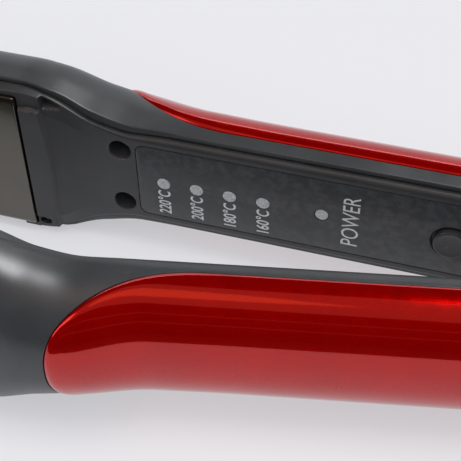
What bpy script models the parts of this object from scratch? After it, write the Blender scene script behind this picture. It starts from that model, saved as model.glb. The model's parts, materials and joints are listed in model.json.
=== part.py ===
"""A wide-plate hair straightener: two hinged arms lying on their side, a little open.

Each arm is drawn as if the iron were closed. `reach` runs from the hinge axis to the
tip, `depth` outward from the arm's inner face, and `height` along the hinge axis. The
near arm lies on the -Y side of the hinge's plane and the far arm on the +Y side.
"""

import math

import bmesh
import bpy
from mathutils import Vector

MM = 0.001

# Whole object
OPEN_ANGLE = math.radians(11.09)
HINGE_X = 122.88 * MM
MID_Z = 21.5 * MM
FACE_OFFSET = 2.9 * MM
GAP = 0.3 * MM

# Outer body of an arm: (reach, value) stations, joined by smooth curves
HALF_WIDTHS = [(3, 18.0), (30, 15.4), (60, 14.0), (148.4, 14.0), (158, 16.2), (168, 20.6), (174, 21.5)]
THICKNESSES = [(3, 13.5), (30, 16.0), (60, 16.6), (139.4, 16.6), (145.4, 18.0), (152.4, 19.9),
               (160.4, 19.6), (170.4, 18.9)]
CREASE_DEPTHS = [(148, 7.15), (168, 4.5)]
WALLS = [(140, 3.4), (150, 2.8), (170, 2.3)]
RIM_DEPTH = 2.2 * MM
RIM_INSET = 1.5 * MM
ROUNDNESS = 2.5
WIDTH_TIP = (268.0 * MM, 12.5 * MM)
THICKNESS_TIP = (250.0 * MM, 29.0 * MM)
OUTLINE_STEPS = 12
BODY_STATIONS = [3, 16, 30, 45, 60, 100, 139.4, 145.4, 152.4, 158, 163, 168, 174, 250, 260, 268, 273, 277]

# Red cover on the handle
COVER_SKIN = 1.5 * MM
COVER_EDGE_DEPTH = 4.6 * MM
COVER_FRONT = (129.4 * MM, 156.1 * MM, 15.1 * MM)
COVER_REAR = (38.0 * MM, 16.0 * MM, 11.5 * MM)
COVER_SWEEP = 1.87
COVER_CURVE_STEPS = 8

# Inner cover and the frame round its plate
INNER_THICKNESS = 1.9 * MM
INNER_INSET = 1.8 * MM
INNER_BEVEL = 1.1 * MM
BAR_REACHES = (170.4 * MM, 173.9 * MM)
BAR_RISE = 2.4 * MM
RAIL_RISE = 1.2 * MM
TIP_BAR_REACH = 269.3 * MM
INNER_STATIONS = [14.5, 30, 60, 148.4, 154, 159, 163, 166, 170.4, 173.9, 174.2, 269, 269.3, 273, 275.6]

# Heated plate and what moves with it
PLATE_REACHES = (174.2 * MM, 269.0 * MM)
PLATE_HALF_WIDTH = 18.65 * MM
PLATE_RISE = 2.65 * MM
PLATE_SKIN = 2.0 * MM
PLATE_EDGE = 0.6 * MM
PLATE_RAIL_HEIGHTS = (10.6 * MM, 12.4 * MM)
PLATE_RAIL_DEPTH = 3.4 * MM
HEATER_REACHES = (184.0 * MM, 259.0 * MM)
HEATER_DEPTHS = (-0.35 * MM, 3.2 * MM)
CLAMP_REACHES = (180.0 * MM, 263.0 * MM)
CLAMP_DEPTHS = (3.7 * MM, 4.9 * MM)
CUSHION_DEPTHS = (6.0 * MM, 14.4 * MM)
CUSHION_REACHES = ((186.0 * MM, 198.0 * MM), (245.0 * MM, 257.0 * MM))
CUSHION_HALF_WIDTH = 6.0 * MM
SHIELD_REACHES = (180.0 * MM, 254.0 * MM)
SHIELD_DEPTHS = (14.7 * MM, 15.5 * MM)
SHIELD_HALF_WIDTH = 8.0 * MM

# Screws that hold each inner cover
SCREW_REACH = 152.0 * MM
SCREW_HEIGHT = 7.6 * MM
SCREW_WELL_RADIUS = 2.5 * MM
SCREW_TUBE_RADIUS = 3.2 * MM
SCREW_SEAT_DEPTH = 5.0 * MM
SCREW_TUBE_DEPTH = 6.2 * MM
SCREW_SHANK_RADIUS = 1.2 * MM
SCREW_TIP_DEPTH = 12.0 * MM
SCREW_BOSS_DEPTH = 14.0 * MM

# Controls on the far arm
PANEL_REACHES = (62.0 * MM, 148.35 * MM)
PANEL_HALF_WIDTH = 10.0 * MM
PANEL_THICKNESS = 1.0 * MM
PANEL_CORNER = 2.0 * MM
BOARD_REACHES = (68.0 * MM, 146.0 * MM)
BOARD_HALF_WIDTH = 9.0 * MM
BOARD_DEPTHS = (7.0 * MM, 8.6 * MM)
LIGHT_RADIUS = 1.5 * MM
LIGHTS = {"led_160": 119.9, "led_180": 127.4, "led_200": 134.9, "led_220": 142.4, "led_power": 106.95}
BUTTON_REACH = 79.4 * MM
BUTTON_HEIGHT = -0.8 * MM
BUTTON_RADIUS = 3.7 * MM
BUTTON_HOLE_RADIUS = 4.2 * MM
BUTTON_RISE = 1.0 * MM

# Hinge, in the arms' own axes: X runs to the tail, Z along the pin
HUB_RADIUS = 12.5 * MM
HUB_CLEARANCE = 13.1 * MM
BARREL_HALF_HEIGHT = 7.0 * MM
EAR_HEIGHTS = (7.3 * MM, 18.2 * MM)
CAP_HEIGHTS = (18.5 * MM, 21.5 * MM)
CAP_BEVEL = 1.0 * MM
PIN_RADIUS = 3.0 * MM
PIN_HALF_HEIGHT = 16.5 * MM
BARREL_BORE = 6.5 * MM
TANG_LENGTH = 34.0 * MM
TANG_DEPTHS = (6.2 * MM, 11.5 * MM)
TAIL_END = 26.2 * MM
TAIL_HALF_WIDTH = 8.6 * MM
SPRING_RADIUS = 4.7 * MM
SPRING_WIRE = 0.6 * MM
SPRING_TURNS = 6
SPRING_HALF_HEIGHT = 4.8 * MM
GLAND_BORE = 3.7 * MM
GLAND_NECK = 5.2 * MM
GLAND_FLANGE = 6.9 * MM
GLAND_STOPS = (15.5 * MM, 17.5 * MM, 26.5 * MM, 29.0 * MM)

ROUND_STEPS = 32
SMALL_STEPS = 16


def clear_scene():
    for obj in list(bpy.data.objects):
        bpy.data.objects.remove(obj, do_unlink=True)


def material(name, colour, roughness, metallic=0.0):
    made = bpy.data.materials.new(name)
    made.use_nodes = True
    shader = made.node_tree.nodes["Principled BSDF"]
    shader.inputs["Base Color"].default_value = (*colour, 1.0)
    shader.inputs["Roughness"].default_value = roughness
    shader.inputs["Metallic"].default_value = metallic
    return made


def smooth_curve(stations, reach):
    """The value at `reach` on a smooth curve through (reach, value) stations in millimetres."""
    at = min(max(reach / MM, stations[0][0]), stations[-1][0])
    slopes = [(q[1] - p[1]) / (q[0] - p[0]) for p, q in zip(stations, stations[1:])]
    middle = [2 * a * b / (a + b) if a * b > 0 else 0.0 for a, b in zip(slopes, slopes[1:])]
    tangents = [0.0, *middle, 0.0]
    for i, (p, q) in enumerate(zip(stations, stations[1:])):
        if at <= q[0]:
            break
    span = q[0] - p[0]
    t = (at - p[0]) / span
    rise = t * t * (3 - 2 * t)
    leave = t * (1 - t) ** 2 * span * tangents[i]
    arrive = t * t * (1 - t) * span * tangents[i + 1]
    return (p[1] + (q[1] - p[1]) * rise + leave - arrive) * MM


def tip_scale(tip, reach):
    """How far the body has drawn in at `reach`, from 1 before the tip starts to round."""
    start, length = tip
    along = max(0.0, (reach - start) / length)
    return (1 - along**ROUNDNESS) ** (1 / ROUNDNESS)


def half_width(reach):
    return smooth_curve(HALF_WIDTHS, reach) * tip_scale(WIDTH_TIP, reach)


def thickness(reach):
    return smooth_curve(THICKNESSES, reach) * tip_scale(THICKNESS_TIP, reach)


def outer_half(reach, shrink, rim_depth):
    """(depth, height) points round the arm's outer side, from its upper rim to its lower one."""
    width = half_width(reach) - shrink
    deepest = thickness(reach) - shrink
    crease = min(smooth_curve(CREASE_DEPTHS, reach), 0.6 * deepest)
    points = [(rim_depth, width - (RIM_INSET if shrink == 0 else 0.0))]
    for i in range(OUTLINE_STEPS + 1):
        turn = math.pi * i / OUTLINE_STEPS
        across = math.copysign(abs(math.cos(turn)) ** (2 / ROUNDNESS), math.cos(turn))
        points.append((crease + (deepest - crease) * math.sin(turn) ** (2 / ROUNDNESS), width * across))
    return [*points, (rim_depth, -points[0][1])]


class Arm:
    """One arm's frame: an empty on the hinge axis, and which side of the hinge's plane it lies on."""

    def __init__(self, name, side):
        self.name = name
        self.side = side
        self.frame = bpy.data.objects.new(name + "_frame", None)
        self.frame.location = (HINGE_X, 0.0, MID_Z)
        self.frame.rotation_euler = (0.0, 0.0, -side * OPEN_ANGLE / 2)
        bpy.context.collection.objects.link(self.frame)

    def point(self, reach, depth, height):
        return Vector((-reach, self.side * (FACE_OFFSET + depth), height))

    def place(self, name, mesh_data, finish):
        return add_object(name, mesh_data, finish, self.frame)

    def loft(self, name, sections, finish=None):
        """A closed solid through (reach, outline) sections whose outlines hold (depth, height) points."""
        rings = [[self.point(reach, d, h) for d, h in outline] for reach, outline in sections]
        return self.place(name, skin(rings), finish)

    def block(self, name, reaches, depths, heights, finish=None):
        near, far = depths
        low, high = heights
        corners = [(near, low), (far, low), (far, high), (near, high)]
        return self.loft(name, [(reach, corners) for reach in reaches], finish)

    def turned(self, name, reach, height, profile, finish=None, steps=SMALL_STEPS):
        """A solid turned about the depth direction, from (radius, depth) points."""
        rings = []
        for radius, depth in profile:
            angles = [2 * math.pi * i / steps for i in range(steps)]
            around = [(reach + radius * math.cos(a), height + radius * math.sin(a)) for a in angles]
            rings.append([self.point(r, depth, h) for r, h in around])
        return self.place(name, skin(rings), finish)

    def wire(self, name, route, radius, finish):
        """A round tube along a smooth curve through (reach, depth, height) points."""
        return add_tube(name, [self.point(*spot) for spot in route], radius, finish, self.frame)


def skin(rings):
    """A closed mesh through rings of equal length, with flat ends."""
    mesh = bpy.data.meshes.new("skin")
    shape = bmesh.new()
    made = [[shape.verts.new(point) for point in ring] for ring in rings]
    for one, two in zip(made, made[1:]):
        for i in range(len(one)):
            j = (i + 1) % len(one)
            shape.faces.new((one[i], one[j], two[j], two[i]))
    shape.faces.new(made[0])
    shape.faces.new(made[-1])
    bmesh.ops.recalc_face_normals(shape, faces=shape.faces)
    shape.to_mesh(mesh)
    shape.free()
    return mesh


def add_object(name, mesh, finish, frame):
    obj = bpy.data.objects.new(name, mesh)
    mesh.name = name
    obj.parent = frame
    bpy.context.collection.objects.link(obj)
    if finish is None:
        obj.hide_render = True
        obj.display_type = "WIRE"
    else:
        mesh.materials.append(finish)
        mesh.shade_smooth()
        mesh.set_sharp_from_angle(angle=math.radians(35))
    return obj


def add_tube(name, points, radius, finish, frame):
    curve = bpy.data.curves.new(name, "CURVE")
    curve.dimensions = "3D"
    curve.bevel_depth = radius
    curve.bevel_resolution = 1
    curve.use_fill_caps = True
    line = curve.splines.new("POLY")
    line.points.add(len(points) - 1)
    for spot, point in zip(line.points, points):
        spot.co = (*point, 1.0)
    curve.materials.append(finish)
    obj = bpy.data.objects.new(name, curve)
    obj.parent = frame
    bpy.context.collection.objects.link(obj)
    return obj


def rounded_route(corners, steps=6):
    """Points on a smooth curve that passes through every corner of a route."""
    spots = [corners[0], *corners, corners[-1]]
    route = []
    for p0, p1, p2, p3 in zip(spots, spots[1:], spots[2:], spots[3:]):
        for i in range(steps):
            t = i / steps
            spot = []
            for a, b, c, d in zip(p0, p1, p2, p3):
                square, cube = 2 * a - 5 * b + 4 * c - d, 3 * b - a - 3 * c + d
                spot.append((2 * b + (c - a) * t + square * t**2 + cube * t**3) / 2)
            route.append(tuple(spot))
    return [*route, corners[-1]]


def combine(obj, other, operation):
    step = obj.modifiers.new(operation.lower() + "_" + other.name, "BOOLEAN")
    step.operation = operation
    step.object = other
    return obj


def cut(obj, *cutters):
    for cutter in cutters:
        combine(obj, cutter, "DIFFERENCE")
    return obj


def join(obj, *others):
    for other in others:
        combine(obj, other, "UNION")
    return obj


# Pieces turned about the pin, the hinge's Z axis


def pin_cylinder(arm, name, radius, heights, finish=None, steps=ROUND_STEPS):
    return pin_turned(arm, name, [(radius, heights[0]), (radius, heights[1])], finish, steps)


def pin_turned(arm, name, profile, finish=None, steps=ROUND_STEPS):
    angles = [2 * math.pi * i / steps for i in range(steps)]
    rings = [[Vector((r * math.cos(a), r * math.sin(a), z)) for a in angles] for r, z in profile]
    return arm.place(name, skin(rings), finish)


def tail_turned(arm, name, profile, finish=None, steps=SMALL_STEPS + 8):
    """A solid turned about the tail's X axis, from (radius, x) points."""
    angles = [2 * math.pi * i / steps for i in range(steps)]
    rings = [[Vector((x, r * math.cos(a), r * math.sin(a))) for a in angles] for r, x in profile]
    return arm.place(name, skin(rings), finish)


def box(arm, name, xs, ys, zs, finish=None):
    corners = [(ys[0], zs[0]), (ys[1], zs[0]), (ys[1], zs[1]), (ys[0], zs[1])]
    rings = [[Vector((x, y, z)) for y, z in corners] for x in xs]
    return arm.place(name, skin(rings), finish)


# The arm's covers


def body_solid(arm, name, shrink, finish=None):
    stations = [reach * MM for reach in BODY_STATIONS]
    return arm.loft(name, [(reach, outer_half(reach, shrink, RIM_DEPTH)) for reach in stations], finish)


def cavity(arm, name):
    """What is taken out of the outer shell, open to the inner face and at the hinge."""
    sections = []
    for reach in [reach * MM for reach in BODY_STATIONS[:-1]]:
        wall = smooth_curve(WALLS, reach)
        sections.append((reach if sections else reach - wall, outer_half(reach, wall, -RIM_DEPTH)))
    return arm.loft(name, sections)


def cover_edge(end, gap):
    """The side view of the red cover's swept edge at one end, as (reach, depth) points."""
    start, apex, rise = end
    away = math.copysign(1.0, apex - start)
    points = []
    for i in range(COVER_CURVE_STEPS + 1):
        t = i / COVER_CURVE_STEPS
        reach = start + (apex - start + away * gap) * t
        points.append((reach, COVER_EDGE_DEPTH - gap * (1 - t) + rise * t**COVER_SWEEP))
    return points


def cover_prism(arm, name, gap):
    """A block across the whole arm that holds all of the red cover."""
    front = cover_edge(COVER_FRONT, gap)
    rear = cover_edge(COVER_REAR, gap)
    above = 2 * COVER_FRONT[2]
    outline = [(rear[-1][0], above), *reversed(rear), *front, (front[-1][0], above)]
    across = 2 * MID_Z
    rings = [[arm.point(reach, depth, height) for reach, depth in outline] for height in (-across, across)]
    return arm.place(name, skin(rings), None)


def red_cover(arm, finish):
    obj = body_solid(arm, arm.name + "_red_cover", 0.0, finish)
    combine(obj, cover_prism(arm, arm.name + "_cover_prism", 0.0), "INTERSECT")
    return cut(obj, body_solid(arm, arm.name + "_cover_core", COVER_SKIN))


def outer_shell(arm, finish):
    obj = body_solid(arm, arm.name + "_outer_shell", 0.0, finish)
    recess = cover_prism(arm, arm.name + "_recess_prism", GAP)
    cut(recess, body_solid(arm, arm.name + "_recess_core", COVER_SKIN + GAP))
    hub = pin_cylinder(arm, arm.name + "_hub_clearance", HUB_CLEARANCE, (-MID_Z, MID_Z))
    cut(obj, recess, cavity(arm, arm.name + "_cavity"))
    for end, height in (("upper", SCREW_HEIGHT), ("lower", -SCREW_HEIGHT)):
        boss = [(SCREW_TUBE_RADIUS, SCREW_TUBE_DEPTH + GAP), (SCREW_TUBE_RADIUS, SCREW_BOSS_DEPTH)]
        bore = [(SCREW_SHANK_RADIUS + GAP, depth) for depth in (SCREW_SEAT_DEPTH, SCREW_TIP_DEPTH + GAP)]
        join(obj, arm.turned(f"{arm.name}_boss_{end}", SCREW_REACH, height, boss))
        cut(obj, arm.turned(f"{arm.name}_boss_bore_{end}", SCREW_REACH, height, bore))
    return cut(obj, hub)


def face_rise(reach):
    """How far the inner cover stands proud of the handle's inner face."""
    if reach <= BAR_REACHES[1]:
        return smooth_curve([(163, 0.0), (BAR_REACHES[0] / MM, BAR_RISE / MM)], reach)
    if reach < TIP_BAR_REACH:
        return RAIL_RISE
    return BAR_RISE


def inner_cover(arm, finish):
    """The flat cover of the handle's inside, which widens into a frame round the plate."""
    sections = []
    for reach in [reach * MM for reach in INNER_STATIONS]:
        wide = half_width(reach) - INNER_INSET
        face = -face_rise(reach)
        bevel = min(INNER_BEVEL, (INNER_THICKNESS - face) / 2)
        side = [(INNER_THICKNESS, wide), (face + bevel, wide), (face, wide - bevel)]
        sections.append((reach, side + [(d, -h) for d, h in reversed(side)]))
    obj = arm.loft(arm.name + "_inner_cover", sections, finish)
    opening = (PLATE_REACHES[0] - GAP, PLATE_REACHES[1] + GAP)
    across = PLATE_HALF_WIDTH + GAP
    cut(obj, arm.block(arm.name + "_plate_opening", opening, (-5 * MM, 5 * MM), (-across, across)))
    for end, height in (("upper", SCREW_HEIGHT), ("lower", -SCREW_HEIGHT)):
        tube = [(SCREW_TUBE_RADIUS, INNER_THICKNESS / 2), (SCREW_TUBE_RADIUS, SCREW_TUBE_DEPTH)]
        well = [(SCREW_WELL_RADIUS, -MM), (SCREW_WELL_RADIUS, SCREW_SEAT_DEPTH)]
        hole = [(SCREW_SHANK_RADIUS + GAP, -MM), (SCREW_SHANK_RADIUS + GAP, SCREW_TUBE_DEPTH + MM)]
        join(obj, arm.turned(f"{arm.name}_tube_{end}", SCREW_REACH, height, tube))
        cut(obj, arm.turned(f"{arm.name}_well_{end}", SCREW_REACH, height, well, steps=24))
        cut(obj, arm.turned(f"{arm.name}_screw_hole_{end}", SCREW_REACH, height, hole))
    return obj


def cover_screws(arm, finish):
    for end, height in (("upper", SCREW_HEIGHT), ("lower", -SCREW_HEIGHT)):
        seat = SCREW_SEAT_DEPTH - 0.1 * MM
        head = SCREW_WELL_RADIUS - GAP
        profile = [(0.6 * head, seat - 1.8 * MM), (head, seat - 1.3 * MM), (head, seat),
                   (SCREW_SHANK_RADIUS, seat), (SCREW_SHANK_RADIUS, SCREW_TIP_DEPTH - MM),
                   (SCREW_SHANK_RADIUS / 2, SCREW_TIP_DEPTH)]
        arm.turned(f"{arm.name}_cover_screw_{end}", SCREW_REACH, height, profile, finish)


# The heated plate and what is behind it


def heated_plate(arm, finish):
    """An extruded aluminium plate, with two rails behind it that hold the heater."""
    inner, outer = PLATE_RAIL_HEIGHTS
    back = PLATE_SKIN - PLATE_RISE
    half = [(-PLATE_RISE, PLATE_HALF_WIDTH - PLATE_EDGE), (-PLATE_RISE + PLATE_EDGE, PLATE_HALF_WIDTH),
            (back, PLATE_HALF_WIDTH), (back, outer), (PLATE_RAIL_DEPTH, outer), (PLATE_RAIL_DEPTH, inner),
            (back, inner)]
    outline = half + [(d, -h) for d, h in reversed(half)]
    return arm.loft(arm.name + "_plate", [(reach, outline) for reach in PLATE_REACHES], finish)


def heating(arm, finishes):
    across = PLATE_RAIL_HEIGHTS[0] - GAP
    arm.block(arm.name + "_heater", HEATER_REACHES, HEATER_DEPTHS, (-across, across), finishes["ceramic"])
    across = PLATE_RAIL_HEIGHTS[1]
    arm.block(arm.name + "_heater_clamp", CLAMP_REACHES, CLAMP_DEPTHS, (-across, across), finishes["steel"])
    for end, reaches in zip(("rear", "front"), CUSHION_REACHES):
        across = (-CUSHION_HALF_WIDTH, CUSHION_HALF_WIDTH)
        arm.block(f"{arm.name}_plate_cushion_{end}", reaches, CUSHION_DEPTHS, across, finishes["silicone"])
    across = (-SHIELD_HALF_WIDTH, SHIELD_HALF_WIDTH)
    arm.block(arm.name + "_heat_shield", SHIELD_REACHES, SHIELD_DEPTHS, across, finishes["mica"])


# The controls, on the far arm only


def panel_outline(grow):
    """The control panel's outline as (reach, height) points, with rounded corners."""
    low, high = PANEL_REACHES[0] - grow, PANEL_REACHES[1] + grow
    across = PANEL_HALF_WIDTH + grow
    radius = PANEL_CORNER + grow
    corners = [(high, across, 0), (low, across, 1), (low, -across, 2), (high, -across, 3)]
    middle = sum(PANEL_REACHES) / 2
    points = []
    for reach, height, quarter in corners:
        centre = (reach - math.copysign(radius, reach - middle), height - math.copysign(radius, height))
        for i in range(5):
            turn = math.pi / 2 * (quarter + i / 4)
            points.append((centre[0] + radius * math.cos(turn), centre[1] + radius * math.sin(turn)))
    return points


def panel_solid(arm, name, grow, depths, finish=None):
    rings = [[arm.point(reach, depth, height) for reach, height in panel_outline(grow)] for depth in depths]
    return arm.place(name, skin(rings), finish)


def controls(arm, cover, finishes):
    panel = panel_solid(arm, "control_panel", 0.0, (0.0, PANEL_THICKNESS), finishes["panel"])
    cut(cover, panel_solid(arm, "panel_pocket", GAP, (-MM, PANEL_THICKNESS + GAP)))
    for name, reach in LIGHTS.items():
        lens = [(LIGHT_RADIUS, 0.0), (LIGHT_RADIUS, BOARD_DEPTHS[0] - GAP)]
        hole = [(LIGHT_RADIUS + GAP, -MM), (LIGHT_RADIUS + GAP, 4 * MM)]
        arm.turned(name, reach * MM, 0.0, lens, finishes["lens"])
        cutter = arm.turned(name + "_hole", reach * MM, 0.0, hole)
        cut(panel, cutter)
        cut(cover, cutter)
    hole = [(BUTTON_HOLE_RADIUS, -MM), (BUTTON_HOLE_RADIUS, 4 * MM)]
    cutter = arm.turned("button_hole", BUTTON_REACH, BUTTON_HEIGHT, hole, steps=24)
    cut(panel, cutter)
    cut(cover, cutter)
    across = (-BOARD_HALF_WIDTH, BOARD_HALF_WIDTH)
    arm.block("circuit_board", BOARD_REACHES, BOARD_DEPTHS, across, finishes["board"])
    power_button(arm, finishes)


def power_button(arm, finishes):
    """The round key, its flange under the cover, and the small switch that it presses."""
    flange = INNER_THICKNESS + GAP
    profile = [(2.85 * MM, -BUTTON_RISE), (3.5 * MM, -0.75 * BUTTON_RISE),
               (BUTTON_RADIUS, -0.2 * BUTTON_RISE), (BUTTON_RADIUS, flange), (5.0 * MM, flange),
               (5.0 * MM, flange + 0.7 * MM), (1.5 * MM, flange + 0.7 * MM), (1.5 * MM, flange + 1.1 * MM)]
    arm.turned("power_button", BUTTON_REACH, BUTTON_HEIGHT, profile, finishes["button"], steps=24)
    top = BOARD_DEPTHS[0] - GAP
    side = 3.0 * MM
    switch = arm.block("button_switch", (BUTTON_REACH - side, BUTTON_REACH + side), (top - 2.1 * MM, top),
                       (BUTTON_HEIGHT - side, BUTTON_HEIGHT + side), finishes["switch"])
    plunger = [(1.6 * MM, flange + 1.75 * MM), (1.6 * MM, top - MM)]
    join(switch, arm.turned("switch_plunger", BUTTON_REACH, BUTTON_HEIGHT, plunger))


def sensors_and_wires(near, far, finishes):
    bead = [(1.5 * MM, -0.3 * MM), (1.5 * MM, 3.3 * MM)]
    far.turned("thermistor", 179.0 * MM, 0.0, bead, finishes["ceramic"])
    across = (-2.0 * MM, 2.0 * MM)
    far.block("thermal_fuse", (158.0 * MM, 169.0 * MM), (6.5 * MM, 10.5 * MM), across, finishes["steel"])
    to_board = [(183.4, 1.5, 5), (179, 3, 5), (172, 9.5, 5), (164, 13, 2), (152, 13, 0), (144, 11, 0),
                (132, 10.2, 0)]
    to_hinge = [(183.4, 1.5, 5), (179, 3, 5), (172, 8, 3), (160, 9.5, 0), (110, 8.5, 0), (60, 8.5, 0),
                (37, 8.5, 0)]
    for name, arm, corners in (("far_heater_lead", far, to_board), ("near_heater_lead", near, to_hinge)):
        route = rounded_route([tuple(v * MM for v in corner) for corner in corners])
        arm.wire(name, route, 1.2 * MM, finishes["wire"])


# The hinge


def hinge_yoke(arm, finish):
    """The near arm's hinge bracket: two ears round the pin, a tang in the arm and the tail."""
    tang_y = sorted(arm.side * depth for depth in TANG_DEPTHS)
    tang_z = (-10.0 * MM, 10.0 * MM)
    obj = box(arm, "hinge_yoke", (-TANG_LENGTH, 0.0), tang_y, tang_z, finish)
    across = (-TAIL_HALF_WIDTH, TAIL_HALF_WIDTH)
    join(obj, box(arm, "tail_block", (-MM, TAIL_END), across, (-10.5 * MM, 10.5 * MM)))
    cut(obj, pin_cylinder(arm, "barrel_room", HUB_CLEARANCE, (-EAR_HEIGHTS[0], EAR_HEIGHTS[0])))
    for end, sign in (("upper", 1), ("lower", -1)):
        heights = sorted(sign * height for height in EAR_HEIGHTS)
        join(obj, pin_cylinder(arm, "ear_" + end, HUB_RADIUS, heights))
    cut(obj, pin_cylinder(arm, "pin_bore", PIN_RADIUS + GAP, (-MID_Z, MID_Z)))
    chamber = [(GLAND_FLANGE + GAP, x) for x in (0.0, GLAND_STOPS[1] + GAP)]
    cut(obj, tail_turned(arm, "gland_chamber", chamber))
    hole = [(GLAND_NECK + GAP, x) for x in (0.0, TAIL_END + MM)]
    cut(obj, tail_turned(arm, "gland_hole", hole))
    leg = SPRING_WIRE + GAP
    xs = (-SPRING_RADIUS - leg, -SPRING_RADIUS + leg)
    cut(obj, box(arm, "spring_leg_hole", xs, (-leg, leg), (0.0, 11.0 * MM)))
    return obj


def hinge_barrel(arm, spring_arm, finish):
    """The far arm's knuckle, which turns between the ears and holds the spring."""
    tang_y = sorted(arm.side * depth for depth in TANG_DEPTHS)
    obj = box(arm, "hinge_barrel", (-TANG_LENGTH, 0.0), tang_y, (-6.6 * MM, 6.6 * MM), finish)
    ends = (-BARREL_HALF_HEIGHT, BARREL_HALF_HEIGHT)
    join(obj, pin_cylinder(arm, "barrel_round", HUB_RADIUS, ends))
    cut(obj, pin_cylinder(arm, "barrel_bore", BARREL_BORE, (-MID_Z, MID_Z)))
    slot = SPRING_WIRE + GAP
    heights = (-SPRING_HALF_HEIGHT - slot, -SPRING_HALF_HEIGHT + slot)
    return cut(obj, box(spring_arm, "spring_slot", (0.0, 10.0 * MM), (-slot, slot), heights))


def hinge_spring(arm, finish):
    """A torsion spring: one leg stands in the upper ear, the other lies in the barrel's slot."""
    points = []
    steps = 10
    for i in range(SPRING_TURNS * steps + steps // 2 + 1):
        turn = 2 * math.pi * i / steps
        height = SPRING_HALF_HEIGHT * (2 * i / (SPRING_TURNS * steps + steps // 2) - 1)
        points.append(Vector((SPRING_RADIUS * math.cos(turn), SPRING_RADIUS * math.sin(turn), height)))
    low_leg = Vector((9.4 * MM, 0.0, -SPRING_HALF_HEIGHT))
    high_leg = Vector((-SPRING_RADIUS, 0.0, 10.5 * MM))
    return add_tube("hinge_spring", [low_leg, *points, high_leg], SPRING_WIRE, finish, arm.frame)


def hinge(near, far, finishes):
    hinge_yoke(near, finishes["dark"])
    hinge_barrel(far, near, finishes["dark"])
    hinge_spring(near, finishes["steel"])
    bevel = 0.8 * MM
    low, high = PIN_RADIUS - bevel, PIN_HALF_HEIGHT - bevel
    pin = [(low, -PIN_HALF_HEIGHT), (PIN_RADIUS, -high), (PIN_RADIUS, high), (low, PIN_HALF_HEIGHT)]
    pin_turned(near, "hinge_pin", pin, finishes["steel"], SMALL_STEPS + 8)
    for end, sign in (("upper", 1), ("lower", -1)):
        peg = PIN_HALF_HEIGHT + GAP
        profile = [(PIN_RADIUS, peg), (PIN_RADIUS, CAP_HEIGHTS[0]), (HUB_RADIUS, CAP_HEIGHTS[0]),
                   (HUB_RADIUS, CAP_HEIGHTS[1] - CAP_BEVEL), (HUB_RADIUS - CAP_BEVEL, CAP_HEIGHTS[1])]
        pin_turned(near, "hinge_cap_" + end, [(r, sign * z) for r, z in profile], finishes["gloss"])


def cord_gland(arm, finish):
    """The swivelling bush in the tail that a cord would pass through."""
    inside, neck, outside, end = GLAND_STOPS
    profile = [(GLAND_FLANGE, inside), (GLAND_FLANGE, neck), (GLAND_NECK, neck), (GLAND_NECK, outside),
               (GLAND_FLANGE, outside), (GLAND_FLANGE - 0.5 * MM, end)]
    obj = tail_turned(arm, "cord_gland", profile, finish)
    return cut(obj, tail_turned(arm, "cord_hole", [(GLAND_BORE, 0.0), (GLAND_BORE, end + MM)]))


def main():
    clear_scene()
    finishes = {
        "dark": material("dark_soft_plastic", (0.045, 0.048, 0.052), 0.5),
        "inner": material("inner_plastic", (0.03, 0.031, 0.035), 0.45),
        "panel": material("panel_plastic", (0.028, 0.029, 0.033), 0.4),
        "gloss": material("gloss_black", (0.02, 0.02, 0.022), 0.2),
        "red": material("red_lacquer", (0.42, 0.004, 0.006), 0.12),
        "plate": material("plate_coating", (0.11, 0.1, 0.08), 0.15, 0.9),
        "steel": material("steel", (0.5, 0.5, 0.5), 0.3, 1.0),
        "ceramic": material("ceramic", (0.75, 0.74, 0.7), 0.6),
        "silicone": material("silicone", (0.55, 0.12, 0.08), 0.6),
        "mica": material("mica", (0.5, 0.45, 0.32), 0.5),
        "board": material("circuit_board", (0.02, 0.16, 0.06), 0.4),
        "lens": material("light_lens", (0.5, 0.51, 0.52), 0.35),
        "button": material("button_plastic", (0.03, 0.031, 0.034), 0.3),
        "switch": material("switch_plastic", (0.02, 0.02, 0.02), 0.5),
        "wire": material("wire_sleeve", (0.7, 0.68, 0.62), 0.6),
    }
    near, far = Arm("near", -1), Arm("far", 1)
    for arm in (near, far):
        outer_shell(arm, finishes["dark"])
        red_cover(arm, finishes["red"])
        cover = inner_cover(arm, finishes["inner"])
        heated_plate(arm, finishes["plate"])
        heating(arm, finishes)
        cover_screws(arm, finishes["steel"])
    controls(far, cover, finishes)
    sensors_and_wires(near, far, finishes)
    hinge(near, far, finishes)
    cord_gland(near, finishes["gloss"])


main()
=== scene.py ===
"""The looks of a wide-plate hair straightener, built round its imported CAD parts.

Shapes are drawn in an arm's own millimetres: `reach` runs from the hinge axis to the tip,
`depth` outward from the arm's inner face, and `height` along the hinge axis. Arrays of
spots hold (reach, depth, height) in their last axis, and Arm.place turns them into metres
in the row frame.
"""

import json
import math

import bmesh
import bpy
import numpy as np
from mathutils import Matrix, Vector

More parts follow.
